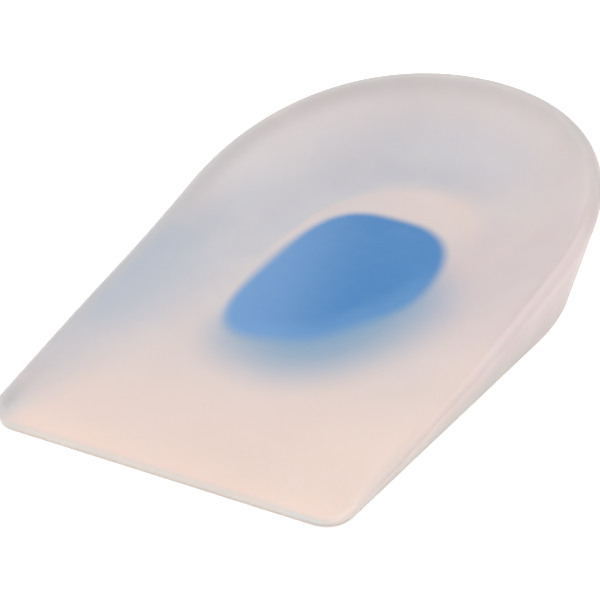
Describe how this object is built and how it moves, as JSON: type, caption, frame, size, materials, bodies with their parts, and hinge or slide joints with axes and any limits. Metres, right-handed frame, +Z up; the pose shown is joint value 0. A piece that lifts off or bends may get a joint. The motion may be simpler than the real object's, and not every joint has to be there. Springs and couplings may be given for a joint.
{
  "type": "heel cushion",
  "caption": "Soft gel heel cushion for a shoe: a cup round the heel that thins to a straight front edge, with an oval of softer gel let into its sole.",
  "frame": {"origin": "on the flat underside, below the middle of the overall box", "axes": "+Z up, +Y from the front edge towards the back of the heel, +X to the right"},
  "size_m": [0.067, 0.1054, 0.0218],
  "materials": {
    "milky_gel": "satin, translucent silicone gel",
    "blue_gel": "satin, softer silicone gel"
  },
  "bodies": {
    "root": {"heel_cup": "milky_gel", "soft_spot": "blue_gel"}
  },
  "joints": []
}
